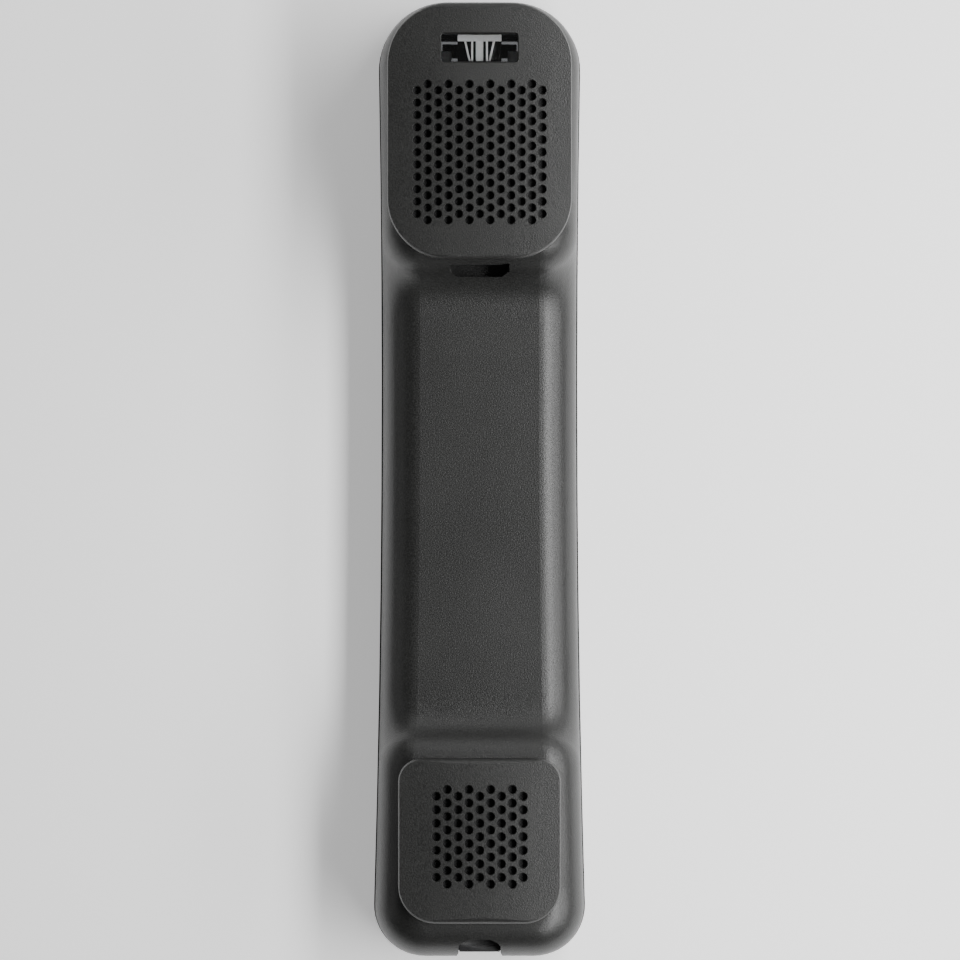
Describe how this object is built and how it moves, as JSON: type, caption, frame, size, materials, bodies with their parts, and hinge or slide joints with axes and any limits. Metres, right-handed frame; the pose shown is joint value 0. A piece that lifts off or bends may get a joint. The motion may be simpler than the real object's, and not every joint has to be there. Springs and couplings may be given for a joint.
{
  "type": "telephone handset",
  "caption": "Corded desk-telephone handset with raised square ear and mouth pods, staggered sound holes, lamp window, wall-hook recess and cord socket.",
  "frame": {"origin": "middle of the flat of the back, under the middle of the handset's box", "axes": "+Y along the handset from the cord socket to the earpiece, +Z out of the face, +X across"},
  "size_m": [0.0454, 0.205, 0.037],
  "materials": {
    "shell_plastic": "fine moulded texture, satin sheen",
    "clear_plastic": "clear moulded acrylic, polished facets",
    "window_clear": "clear polished",
    "cloth": "fine woven acoustic cloth",
    "foam": "closed-cell foam",
    "rubber_boot": "soft moulded rubber",
    "steel": "zinc-plated",
    "ballast_steel": "rolled and tumbled",
    "screw_steel": "bright zinc",
    "magnet": "nickel-plated",
    "basket_plastic": "glass-filled, matte",
    "film": "thin polymer film",
    "coil_copper": "enamelled copper wire",
    "contact_gold": "gold-plated bronze wire",
    "board_green": "solder-resist lacquer",
    "jack_plastic": "glass-filled, matte",
    "connector_plastic": "natural nylon",
    "capsule_alloy": "drawn can",
    "lead_red": "extruded sleeve",
    "lead_black": "extruded sleeve",
    "lead_white": "extruded sleeve",
    "lead_green": "extruded sleeve"
  },
  "bodies": {
    "handset": {"front_shell": "shell_plastic", "rear_shell": "shell_plastic", "face_window": "window_clear", "light_guide": "clear_plastic", "lamp_lens": "clear_plastic", "ear_cloth": "cloth", "mouth_cloth": "cloth", "receiver_gasket": "foam", "ballast_pads": "foam", "receiver_grille": "steel", "receiver_basket": "basket_plastic", "receiver_yoke": "steel", "receiver_magnet": "magnet", "receiver_pole_plate": "steel", "receiver_surround": "film", "receiver_terminals": "board_green", "receiver_clamp": "steel", "clamp_screws": "screw_steel", "microphone_boot": "rubber_boot", "microphone_capsule": "capsule_alloy", "microphone_board": "board_green", "microphone_retainer": "basket_plastic", "retainer_screws": "screw_steel", "ballast_upper": "ballast_steel", "ballast_lower": "ballast_steel", "ballast_washers": "screw_steel", "ballast_screws": "screw_steel", "jack_housing": "jack_plastic", "jack_board": "board_green", "jack_pins": "contact_gold", "board_screws": "screw_steel", "receiver_connector": "connector_plastic", "microphone_connector": "connector_plastic", "receiver_lead_red": "lead_red", "receiver_lead_black": "lead_black", "microphone_lead_white": "lead_white", "microphone_lead_green": "lead_green"},
    "moving_coil": {"receiver_diaphragm": "film", "receiver_voice_coil": "coil_copper"},
    "contact_springs": {"jack_contacts": "contact_gold"}
  },
  "joints": [
    {"name": "diaphragm_travel", "type": "slide", "parent": "handset", "child": "moving_coil", "axis": [0, 0, 1], "range_m": [-0.0004, 0.0004], "stiffness_N_per_m": 300},
    {"name": "contact_flex", "type": "hinge", "parent": "handset", "child": "contact_springs", "pos_m": [0, -0.0964, 0.0087], "axis": [1, 0, 0], "range_deg": [-10, 0], "stiffness_Nm_per_rad": 0.01}
  ]
}
